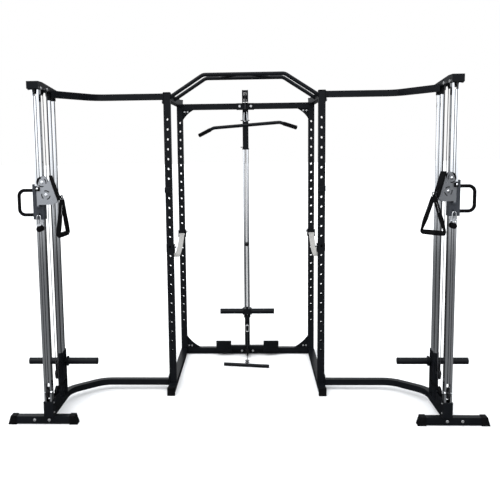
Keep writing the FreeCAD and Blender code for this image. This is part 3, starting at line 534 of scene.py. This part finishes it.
def tower_cable(side, sign):
    """One cable, from the hand grip over the head and the carriage, and under the base to the trolley."""
    turn = swing[side]
    swivel_plane = Plane((tower_x, run_y), (tower_x - math.cos(turn), run_y - math.sin(turn)))
    run_plane = Plane((tower_x, run_y), (tower_x, 1))
    return_plane = Plane((tower_x, back_y), (tower_x - return_shift, return_y))
    base_plane = Plane((tower_x - return_shift, return_y), (tower_x, run_y))
    base_span = math.hypot(return_shift, return_y - run_y)
    level = head.z - 0.3
    pull, exit_wrap, inner_run, entry_wrap, up_run = route(swivel_plane, [
        (link_h, link_z, 0, 1), (exit_h, exit_z, wheel_r, 1),
        (wheel_r, entry_z, wheel_r, -1), (0, head.z, 0, 1)])
    lift_h = lift.y - run_y
    head_run = route(run_plane, [
        (0, level, 0, 1), (wheel_r, head.z, wheel_r, -1), (middle_y - run_y, head.z, wheel_r, -1),
        (lift_h, lift.z, wheel_r, 1), (lift_h + wheel_r, head.z, 0, 1)])
    back_run = route(return_plane, [
        (0, level, 0, 1), (wheel_r, head.z, wheel_r, -1), (2 * wheel_r, level, 0, 1)])
    base_run = route(base_plane, [
        (0, level, 0, 1), (wheel_r, back_wheel_z, wheel_r, 1), (base_span - wheel_r, base.z, wheel_r, 1),
        (base_span, ball_z - 0.02, 0, 1)])
    down_the_back = [back_run[2][0], base_run[0][-1]]
    return_run = back_run[1] + down_the_back + base_run[1] + base_run[2] + base_run[3]
    carriage, trolley, swivel = (f"{n}_{side}" for n in ("carriage", "trolley", "swivel"))
    riding = [
        ("over_head", head_run[1] + head_run[2] + head_run[3], "frame"),
        ("return_run", return_run, "frame"),
        ("in_block", exit_wrap + inner_run + entry_wrap, swivel),
        ("under_lift", head_run[5], carriage),
    ]
    made = [cable_piece(f"cable_{name}_{side}", flipped(path, sign), body) for name, path, body in riding]
    stretching = [
        ("pull", [pull[1], pull[0]], (swivel, f"handle_{side}")),
        ("up_run", up_run, (trolley, "frame")),
        ("lift_front", head_run[4], ("frame", carriage)),
        ("lift_rear", head_run[6], (carriage, "frame")),
        ("trolley_run", base_run[4], ("frame", trolley)),
    ]
    for name, path, between in stretching:
        step = 0.01 if name == "pull" else 0.03
        cable_piece(f"cable_{name}_{side}", divided(flipped(path, sign), step), between=between)
    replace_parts(made[0], f"tower_cable_{side}")


def lat_cables():
    """High cable from the lat bar to its carriage, and the low cable round its own wheel."""
    box_low, box_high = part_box("lat_cables")
    bar_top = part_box("lat_bar")[1].z
    eye_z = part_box("lat_carriage")[0].z + 0.075
    wheel_z = box_high.z - cable_r - wheel_r
    top_plane = Plane((0, middle("lat_bar").y), (0, 1))
    down, first, across, second, up = route(top_plane, [
        (0, bar_top, 0, 1), (wheel_r, wheel_z, wheel_r, -1),
        (lat_cable_reach - wheel_r, wheel_z, wheel_r, -1), (lat_cable_reach, eye_z, 0, 1)])
    top = cable_piece("lat_cable_top", first + across + second, "frame")
    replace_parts(top, "lat_cables")
    cable_piece("lat_cable_front", divided(down), between=("lat_bar", "frame"))
    cable_piece("lat_cable_rear", divided(up), between=("frame", "lat_carriage"))
    low_plane = Plane((0, box_low.y), (0, 1))
    start_z, low_wheel_z, end_z = 0.019, 0.049, 0.214
    low = route(low_plane, [
        (0, start_z, 0, 1), (low_wheel_h, low_wheel_z, wheel_r, 1), (low_wheel_h + wheel_r, end_z, 0, 1)])
    cable_piece("lat_cable_low", [p for part in low for p in part], "frame")


# ---- hand grips, stop balls and snap links ---------------------------------
def webbing(side):
    """Two legs of one band, from the ring down into the hollow ends of the grip."""
    leg_u = 0.079                               # legs at the grip, from its middle
    half_wide, half_thick = 0.0155, 0.0017
    top = link_z - 0.018
    hanging = Vector((math.cos(facing[side]), math.sin(facing[side]), 0))
    square = grip_way(side, 0, 1)
    if square.dot(hanging) < 0:
        square = -square
    bm = bmesh.new()
    for way in (-1, 1):
        path = bent([in_stirrup(side, way * u, 0, z)
                     for u, z in ((0.003, top), (leg_u, grip_z + 0.012), (leg_u, grip_z))], 0.006, 5)
        path = divided(path[:2], 0.02) + path[2:]
        band = []
        for k, point in enumerate(path):
            blend = min(1.0, max(0.0, (point.z - grip_z - 0.02) / 0.09))
            width = (square * (1 - blend) + hanging * blend).normalized() * half_wide
            ahead = (path[min(k + 1, len(path) - 1)] - path[max(k - 1, 0)]).normalized()
            thick = ahead.cross(width).normalized() * half_thick
            band.append([bm.verts.new(point + width * a + thick * b)
                         for a, b in ((1, 0), (0.9, 1), (-0.9, 1), (-1, 0), (-0.9, -1), (0.9, -1))])
        skin(bm, band)
    bend_r = 0.004                              # bend of the band over the ring
    over = [in_stirrup(side, bend_r * math.sin(a), 0, top + 0.0045 + bend_r * math.cos(a))
            for a in angles(-110, 111, 20)]
    section = [(0.0017, 0.011), (0.0017, -0.011), (-0.0017, -0.011), (-0.0017, 0.011)]
    sweep(bm, over, section, cross=grip_way(side, 1, 0))
    return finished(f"webbing_{side}", bm, "webbing", f"handle_{side}")


def stitching(side):
    """Rows of thread that close the webbing under the ring."""
    bm = bmesh.new()
    top = link_z - 0.020
    for sign in (-1, 1):
        for k in range(9):
            drop = 0.035 + 0.007 * k
            u = sign * (0.010 + 0.072 * drop / (top - grip_z))
            for v in (-0.009, 0.009):
                start = in_stirrup(side, u + sign * 0.0024, v, top - drop)
                end = in_stirrup(side, u + sign * 0.0038, v, top - drop - 0.0045)
                rod(bm, start, end, 0.0007, 6)
    finished(f"stitching_{side}", bm, "zinc", f"handle_{side}")


def ring_and_stop(side):
    """Steel ring over the webbing, hung from the swaged stop of the cable."""
    ring_z = link_z - 0.004
    ring_r = 0.012
    stop_r = 0.0055
    bm = bmesh.new()
    ring = [in_stirrup(side, ring_r * math.sin(a), 0, ring_z + ring_r * math.cos(a))
            for a in [k * math.pi / 16 for k in range(32)]]
    sweep(bm, ring, circle(0.003, 12), closed=True)
    stop = in_block(side, ring_h - 0.010, 0, link_z)
    crown = in_block(side, ring_h, 0, ring_z + ring_r)
    ball = [(-0.0085, 0.0030), (-0.0056, 0.0031)]
    ball += [(stop_r * math.sin(a), stop_r * math.cos(a)) for a in angles(-60, 86, 12)]
    lathe(bm, ball, stop, block_way(side, 1, 0), 24)
    rod(bm, stop, crown, 0.0025, 10)
    finished(f"ring_{side}", bm, "powder_black", f"handle_{side}")


def foam_grip(side):
    """Foam sleeve with rounded ends between two moulded flanges."""
    along = grip_way(side, 1, 0)
    centre = in_stirrup(side, 0, 0, grip_z)
    bm = bmesh.new()
    profile = [(-0.064, 0.0090), (-0.064, 0.0140)]
    for k in range(33):
        t = -1 + k / 16
        swell = 0.0155 + 0.0012 * math.cos(t * math.pi / 2)
        profile.append((t * 0.062, swell - 0.0004 * (k % 2)))
    profile += [(0.064, 0.0140), (0.064, 0.0090)]
    lathe(bm, profile, centre, along, 32)
    sleeve = finished(f"foam_{side}", bm, "foam", f"handle_{side}")
    bm = bmesh.new()
    for way in (-1, 1):
        flange = [(0.0642, 0.0088), (0.0645, 0.0150), (0.0668, 0.0162), (0.0690, 0.0150), (0.0790, 0.0115),
                  (0.0800, 0.0100), (0.0800, 0.0086)]
        lathe(bm, flange, centre, along * way, 32)
    finished(f"grip_ends_{side}", bm, "black_plastic", f"handle_{side}")
    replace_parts(sleeve, f"hand_grip_{side}")


def hand_grip(side):
    """Webbing, stitching, ring and foam of one hand grip."""
    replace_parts(webbing(side), f"strap_{side}")
    stitching(side)
    ring_and_stop(side)
    foam_grip(side)


def snap_link(bm, centre, wide, tall, r):
    """Pear-shaped wire link with its sprung gate and the gate's rivet."""
    corners = [centre + Vector((x * wide, 0, z * tall)) for x, z in
               ((0.5, -0.5), (0.40, 0.5), (-0.40, 0.5), (-0.5, -0.5))]
    sweep(bm, rounded_loop(corners, wide * 0.36, 8), circle(r, 12), closed=True)
    gate_low = centre + Vector((0.5 * wide, -0.0002, -0.26 * tall))
    gate_high = centre + Vector((0.42 * wide, -0.0002, 0.30 * tall))
    rod(bm, gate_low, gate_high, r * 1.25, 12)
    rivet = [(-r * 1.6, r * 0.8), (-r * 1.5, r), (r * 1.5, r), (r * 1.6, r * 0.8)]
    lathe(bm, rivet, gate_low, Vector((0, 1, 0)), 16)


def stop_ball(bm, centre, r):
    """Moulded ball in two halves, with the raised seam where they meet."""
    bore_r = 0.0032
    profile = [(r * 0.99 * math.sin(a), max(bore_r, r * 0.99 * math.cos(a))) for a in angles(-84, 0, 7)]
    seam = [(-0.0008, r * 0.99), (-0.0006, r * 1.015), (0.0006, r * 1.015), (0.0008, r * 0.99)]
    lathe(bm, profile + seam + [(-a, b) for a, b in reversed(profile)], centre, UP, 36)


def cable_end(side, sign):
    """Stop ball, ferrule and snap link where the tower cable meets its trolley."""
    x = sign * tower_x
    bm = bmesh.new()
    stop_ball(bm, Vector((x, run_y, ball_z)), 0.0195)
    ball = finished(f"stop_ball_{side}", bm, "rubber", f"trolley_{side}")
    bm = bmesh.new()
    snap_link(bm, Vector((x, run_y, ball_z + 0.056)), 0.026, 0.066, 0.0032)
    ferrule = [(0.0, 0.0040), (0.001, 0.0052), (0.011, 0.0052), (0.012, 0.0040)]
    lathe(bm, ferrule, Vector((x, run_y, ball_z + 0.0185)), UP, 20)
    finished(f"snap_{side}", bm, "chrome", f"trolley_{side}")
    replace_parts(ball, f"cable_end_{side}")


# ---- pulley block ----------------------------------------------------------
def block_slab(side, name, outline, near, far):
    """Flat moulding with eased edges; the outline is (h, height above the trolley's sleeve foot)."""
    outline = [(h, sleeve_low + z) for h, z in outline]
    middle_h = sum(h for h, z in outline) / len(outline)
    middle_z = sum(z for h, z in outline) / len(outline)
    bm = bmesh.new()
    rings = []
    for across, inset in ((near, eased), (near + eased, 0), (far - eased, 0), (far, eased)):
        ring = []
        for h, z in outline:
            away = Vector((h - middle_h, z - middle_z))
            away -= away.normalized() * inset
            ring.append(bm.verts.new(in_block(side, middle_h + away.x, across, middle_z + away.y)))
        rings.append(ring)
    skin(bm, rings)
    finished(f"{name}_{side}", bm, "black_plastic", f"swivel_{side}", math.radians(25))


def pulley_block(side):
    """Guard on the nose, wheel bolts and the cover over the hinge bolt."""
    guard = [(0.0815, 0.2848), (0.0925, 0.2828), (0.1176, 0.2110), (0.1316, 0.1690), (0.1418, 0.1400),
             (0.1366, 0.1243), (0.1308, 0.1283), (0.1200, 0.1590), (0.1040, 0.2080)]
    inner, outer = 0.0062, 0.0246               # the guard's two halves, from the cable
    for near, far, label in ((-outer, -inner, "front"), (inner, outer, "rear")):
        block_slab(side, f"guard_{label}", guard, near, far)
    mouth_top = link_z - sleeve_low + 0.0175
    above_mouth = [(h, z) for h, z in guard if z > mouth_top]
    bridge = above_mouth[:3] + [(0.1350, mouth_top), (0.1140, mouth_top)] + above_mouth[-1:]
    block_slab(side, "guard_bridge", bridge, -0.0064, 0.0064)
    cover = [(-0.0095, 0.1855), (0.0175, 0.1855), (0.0175, 0.2125), (-0.0095, 0.2125)]
    block_slab(side, "hinge_cover", cover, -0.0226, -0.0108)
    front = block_way(side, 0, -1)
    seat = 0.0107                               # where the bolts' washers sit, from the cable
    bm = bmesh.new()
    for h, z in ((wheel_r, entry_z), (exit_h, exit_z)):
        for across, way in ((-seat, 1), (seat, -1)):
            hex_bolt(bm, in_block(side, h, across, z), front * way, 0.0085, 0.0055, 0.0105)
    dome = [(0, 0.0085), (0.001, 0.0085), (0.0035, 0.0078), (0.0058, 0.0058), (0.0068, 0.0025),
            (0.0070, 0.0004)]
    lathe(bm, dome, in_block(side, 0.004, -0.0224, sleeve_low + 0.2005), front, 24)
    finished(f"block_bolts_{side}", bm, "chrome", f"swivel_{side}")


# ---- lat bar ---------------------------------------------------------------
def lat_bar():
    """Bent bar with rubber-covered ends, its welded tab, and the snap link and stop ball above."""
    pivot = Vector((0, middle("lat_bar").y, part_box("lat_bar")[1].z))
    turn = Matrix.Rotation(-lat_bar_yaw, 3, "Z") @ Matrix.Rotation(-lat_bar_tilt, 3, "Y")
    level = -0.128                              # straight part of the bar, from the pivot
    low = level - 0.053                         # and its ends

    def at(x, z):
        return pivot + turn @ Vector((x, 0, z))

    corners = ((-0.430, low), (-0.293, level), (0.293, level), (0.430, low))
    path = bent([at(x, z) for x, z in corners], 0.07, 10)
    bm = bmesh.new()
    sweep(bm, path, circle(0.014, 24))
    tab = [at(x, level + z) for x, z in ((-0.013, 0.008), (0.013, 0.008), (0.009, 0.036), (-0.009, 0.036))]
    skin(bm, [[bm.verts.new(p + Vector((0, offset, 0))) for p in tab] for offset in (-0.004, 0.004)])
    bar = finished("lat_bar_tube", bm, "powder_black", "lat_bar")
    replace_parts(bar, "lat_bar")
    rib_pitch = 0.006
    cover = [(-0.004, 0.006), (-0.004, 0.0145), (-0.002, 0.0165)]
    for k in range(18):
        cover += [(0.004 + rib_pitch * k, 0.0168), (0.0065 + rib_pitch * k, 0.0160)]
    cover += [(0.1120, 0.0162), (0.1125, 0.0142)]
    bm = bmesh.new()
    for end, corner in ((path[0], path[1]), (path[-1], path[-2])):
        lathe(bm, cover, end, (corner - end).normalized(), 32)
    finished("lat_bar_grips", bm, "rubber", "lat_bar")
    bm = bmesh.new()
    snap_link(bm, at(0, level + 0.070), 0.028, 0.078, 0.0034)
    finished("lat_bar_snap", bm, "chrome", "lat_bar")
    bm = bmesh.new()
    stop_ball(bm, at(0, -0.010), 0.016)
    finished("lat_bar_ball", bm, "rubber", "lat_bar")


# ---- safety belts ----------------------------------------------------------
def plate(bm, low, high):
    """Flat plate or block between two corners, with every edge eased."""
    low, high = Vector(map(min, low, high)), Vector(map(max, low, high))
    made = bmesh.ops.create_cube(bm, size=1.0)["verts"]
    for vert in made:
        vert.co = (low + high) / 2 + Vector((vert.co[k] * (high[k] - low[k]) for k in range(3)))
    edges = list({e for v in made for e in v.link_edges})
    bmesh.ops.bevel(bm, geom=edges, offset=eased, segments=2, affect="EDGES")


def belt_brackets(side, sign, post_x, ends, top):
    """Bracket, rod and pin knob on each upright; gives the height of the rods."""
    pin_z = top - 0.014
    foot = pin_z - 0.048
    rod_z = pin_z - 0.022
    half_wide = 0.033
    back, front = 0.0005, 0.0065                # faces of the front plate, off the upright
    lug_low, lug_high = pin_z - 0.034, pin_z - 0.008
    rod_profile = [(-0.0005, 0.007), (0, 0.0075), (0.0566, 0.0075), (0.0571, 0.007)]
    knob = [(0, 0.009), (0.002, 0.0125), (0.010, 0.0125), (0.012, 0.011), (0.0125, 0.004)]
    plates = bmesh.new()
    bolts = bmesh.new()

    def at(end, x, y, z):
        face, way = end
        return Vector((sign * (post_x + x), face + way * y, z))

    for end in ends:
        plate(plates, at(end, -half_wide, back, foot), at(end, half_wide, front, top))
        plate(plates, at(end, -half_wide, -0.042, foot), at(end, -0.0254, front, top))
        for x in (-0.027, 0.027):
            plate(plates, at(end, x - 0.002, 0.006, lug_low), at(end, x + 0.002, 0.026, lug_high))
        lathe(bolts, rod_profile, at(end, -sign * 0.0283, rod_y, rod_z), Vector((1, 0, 0)), 20)
        lathe(bolts, knob, at(end, -half_wide, -0.025, pin_z), Vector((-sign, 0, 0)), 24)
    finished(f"safety_brackets_{side}", plates, "powder_black", f"safety_{side}")
    finished(f"safety_pins_{side}", bolts, "zinc", f"safety_{side}")
    return rod_z


def safety_belt(side, sign):
    """Slack belt between two brackets, each pinned to its upright from inside the cage."""
    low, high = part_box(f"safety_strap_{side}")
    post_x = abs(low.x + high.x) / 2
    ends = ((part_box(f"front_upright_{side}")[1].y, 1), (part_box(f"rear_upright_{side}")[0].y, -1))
    rod_z = belt_brackets(side, sign, post_x, ends, high.z)
    first, last = (face + way * rod_y for face, way in ends)
    centre = (first + last) / 2
    half = (last - first) / 2
    half_thick = 0.0026
    sag = rod_z - low.z - 0.003
    radius = (half * half + sag * sag) / (2 * sag)
    reach = math.asin(half / radius)
    middle_z = rod_z - sag + radius
    path = [Vector((sign * post_x, centre + radius * math.sin(a), middle_z - radius * math.cos(a)))
            for a in [reach * (k / 24 - 1) for k in range(49)]]
    level = Vector((1, 0, 0))
    bm = bmesh.new()
    section = [(0.0215, -half_thick), (0.0220, 0.0), (0.0215, half_thick), (-0.0215, half_thick),
               (-0.0220, 0.0), (-0.0215, -half_thick)]
    sweep(bm, path, section, cross=level)
    loop_r = 0.0082                             # eye of the belt round its rod
    loop_section = [(0.021, -0.0008), (0.021, 0.0008), (-0.021, 0.0008), (-0.021, -0.0008)]
    for y in (first, last):
        loop = [Vector((sign * post_x, y + loop_r * math.sin(a), rod_z + loop_r * math.cos(a)))
                for a in [k * math.pi / 10 for k in range(20)]]
        sweep(bm, loop, loop_section, closed=True, cross=level)
    belt = finished(f"safety_belt_{side}", bm, "belt", f"safety_{side}")
    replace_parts(belt, f"safety_strap_{side}")


# ---- snap link of the low cable --------------------------------------------
def low_snap():
    """Bright snap link that ends the low cable, on its peg in front of the lower post."""
    half_wide, half_tall = 0.012, 0.0275
    place = Vector((0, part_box("lat_cables")[0].y + low_wheel_h + wheel_r, 0.2475))
    corners = [place + Vector((x * half_wide, 0, z * half_tall))
               for x, z in ((1, -1), (1, 1), (-1, 1), (-1, -1))]
    bm = bmesh.new()
    sweep(bm, rounded_loop(corners, 0.008, 6), circle(0.0036, 12), closed=True)
    finished("low_snap", bm, "zinc", "frame")


# ---- stage, light and camera -----------------------------------------------
def lay_floor():
    """Wide pale floor under the part."""
    bm = bmesh.new()
    bmesh.ops.create_grid(bm, x_segments=8, y_segments=8, size=60)
    mesh = bpy.data.meshes.new("floor")
    bm.to_mesh(mesh)
    bm.free()
    floor = bpy.data.objects.new("floor", mesh)
    bpy.context.scene.collection.objects.link(floor)
    mesh.materials.append(floor_paint("floor_paint"))
    floor.visible_glossy = False


def light_studio():
    """White backdrop and three soft suns; metal mirrors a room dim below, behind and far right."""
    world = bpy.data.worlds.new("studio")
    bpy.context.scene.world = world
    world.use_nodes = True
    tree = world.node_tree
    tree.nodes.clear()
    out = tree.nodes.new("ShaderNodeOutputWorld")
    mix = tree.nodes.new("ShaderNodeMixShader")
    seen = tree.nodes.new("ShaderNodeLightPath")
    room = tree.nodes.new("ShaderNodeBackground")
    room.inputs["Color"].default_value = (0.93, 0.96, 1.0, 1)
    backdrop = tree.nodes.new("ShaderNodeBackground")
    backdrop.inputs["Color"].default_value = (1, 1, 1, 1)
    way = tree.nodes.new("ShaderNodeSeparateXYZ")
    tree.links.new(tree.nodes.new("ShaderNodeTexCoord").outputs["Generated"], way.inputs["Vector"])

    def shade(axis, dim_at, bright_at, dim, bright):
        node = tree.nodes.new("ShaderNodeMapRange")
        node.interpolation_type = "SMOOTHSTEP"
        ends = {"From Min": dim_at, "From Max": bright_at, "To Min": dim, "To Max": bright}
        for label, value in ends.items():
            node.inputs[label].default_value = value
        tree.links.new(way.outputs[axis], node.inputs["Value"])
        return node.outputs["Result"]

    def product(a, b):
        node = tree.nodes.new("ShaderNodeMath")
        node.operation = "MULTIPLY"
        tree.links.new(a, node.inputs[0])
        tree.links.new(b, node.inputs[1])
        return node.outputs["Value"]

    height = shade("Z", -0.17, 0.02, 0.17, 1.45)
    depth = shade("Y", 0.80, 0.30, 0.20, 1.0)
    right = shade("X", 0.84, 0.62, 0.20, 1.0)
    tree.links.new(product(product(height, depth), right), room.inputs["Strength"])
    tree.links.new(seen.outputs["Is Camera Ray"], mix.inputs["Fac"])
    tree.links.new(room.outputs[0], mix.inputs[1])
    tree.links.new(backdrop.outputs[0], mix.inputs[2])
    tree.links.new(mix.outputs[0], out.inputs["Surface"])
    for name, energy, spread, turn in (("key", 1.7, 50, (38, 0, -35)), ("fill", 0.8, 70, (45, 0, 50)),
                                       ("rear", 0.5, 60, (-50, 0, 10))):
        lamp = bpy.data.lights.new(name, "SUN")
        lamp.energy = energy
        lamp.angle = math.radians(spread)
        holder = bpy.data.objects.new(name, lamp)
        holder.rotation_euler = [math.radians(a) for a in turn]
        bpy.context.scene.collection.objects.link(holder)


def place_camera():
    """The photograph's eye: at head height, 5 m in front, looking slightly down and to the left."""
    yaw, pitch, roll = -0.0432, 0.1198, -0.0132
    right = Vector((math.cos(yaw), -math.sin(yaw), 0))
    ahead = Vector((math.sin(yaw) * math.cos(pitch), math.cos(yaw) * math.cos(pitch), -math.sin(pitch)))
    above = right.cross(ahead)
    across = right * math.cos(roll) + above * math.sin(roll)
    top = above * math.cos(roll) - right * math.sin(roll)
    data = bpy.data.cameras.new("camera")
    camera = bpy.data.objects.new("camera", data)
    bpy.context.scene.collection.objects.link(camera)
    turn = Matrix((across, top, -ahead)).transposed().to_4x4()
    camera.matrix_world = Matrix.Translation((0.0562, front_face - 5.0635, 1.8538)) @ turn
    data.sensor_width = 36.0
    data.lens = 49.86
    data.shift_x = 0.0538
    data.shift_y = -0.0460
    bpy.context.scene.camera = camera


def ease_edges():
    """Small rounds on the long edges of the tubes, as drawn tube has."""
    names = ["rear_crossmembers", "tower_feet", "lat_upper_post", "lat_lower_post"]
    paired = ("front_upright", "rear_upright", "base_rail", "top_rail", "upper_arm", "lower_arm", "column",
              "trolley")
    names += [f"{name}_{side}" for side, sign in SIDES for name in paired]
    for name in names:
        round_over = nodes[name].modifiers.new("eased", "BEVEL")
        round_over.width = 0.0016
        round_over.segments = 2
        round_over.limit_method = "ANGLE"
        round_over.angle_limit = math.radians(50)


def dress_cad():
    """Every carried-over CAD node gets the finish of its material slot."""
    for part in frame["record"]["subparts"]:
        obj = nodes[part["node"]]
        if not obj.material_slots:
            obj.data.materials.append(None)
        for entry in obj.material_slots:
            entry.link = "OBJECT"
            entry.material = LOOKS[part["material_slot"]]


dress_cad()
ease_edges()
lay_floor()
light_studio()
place_camera()
bpy.context.scene.view_settings.view_transform = "Standard"
for side, sign in SIDES:
    tower_cable(side, sign)
    cable_end(side, sign)
    pulley_block(side)
    hand_grip(side)
    safety_belt(side, sign)
low_snap()
lat_cables()
lat_bar()
